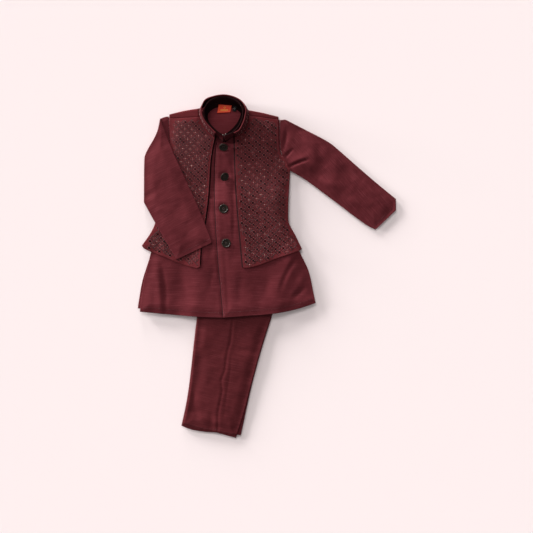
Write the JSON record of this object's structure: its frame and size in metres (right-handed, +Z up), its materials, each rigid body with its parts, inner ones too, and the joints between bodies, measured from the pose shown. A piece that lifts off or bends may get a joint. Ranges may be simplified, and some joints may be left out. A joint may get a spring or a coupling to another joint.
{
  "type": "kurta pyjama set with waistcoat",
  "caption": "Child's collared kurta laid flat, with an open embroidered waistcoat over it, a sleeve folded across the front and the pyjama folded under the hem.",
  "frame": {"origin": "under the middle of the whole suit's bounding box, on the surface it lies on", "axes": "+Y up the garment from the pyjama's hems to the collars, +Z up from the surface, +X towards the wearer's left"},
  "size_m": [0.5674, 0.7554, 0.0322],
  "materials": {
    "kurta_silk": "slub silk with a soft sheen",
    "pyjama_silk": "slub silk with a soft sheen",
    "embroidered_silk": "slub silk quilted with thread and sequins",
    "button": "dark horn-like gloss",
    "label": "woven satin",
    "size_tab": "woven matt"
  },
  "bodies": {
    "root": {"pyjama_leg_right": "pyjama_silk", "pyjama_leg_left": "pyjama_silk", "pyjama_waistband": "pyjama_silk", "waistcoat_back": "kurta_silk", "kurta_back": "kurta_silk", "kurta_front_right": "kurta_silk", "kurta_front_left": "kurta_silk", "waistcoat_front_right": "embroidered_silk", "waistcoat_front_left": "embroidered_silk", "sleeve_left": "kurta_silk", "sleeve_right": "kurta_silk", "kurta_collar": "kurta_silk", "waistcoat_collar": "embroidered_silk", "neck_label": "label", "size_tab": "size_tab", "button_1": "button", "button_2": "button", "button_3": "button", "button_4": "button"}
  },
  "joints": []
}
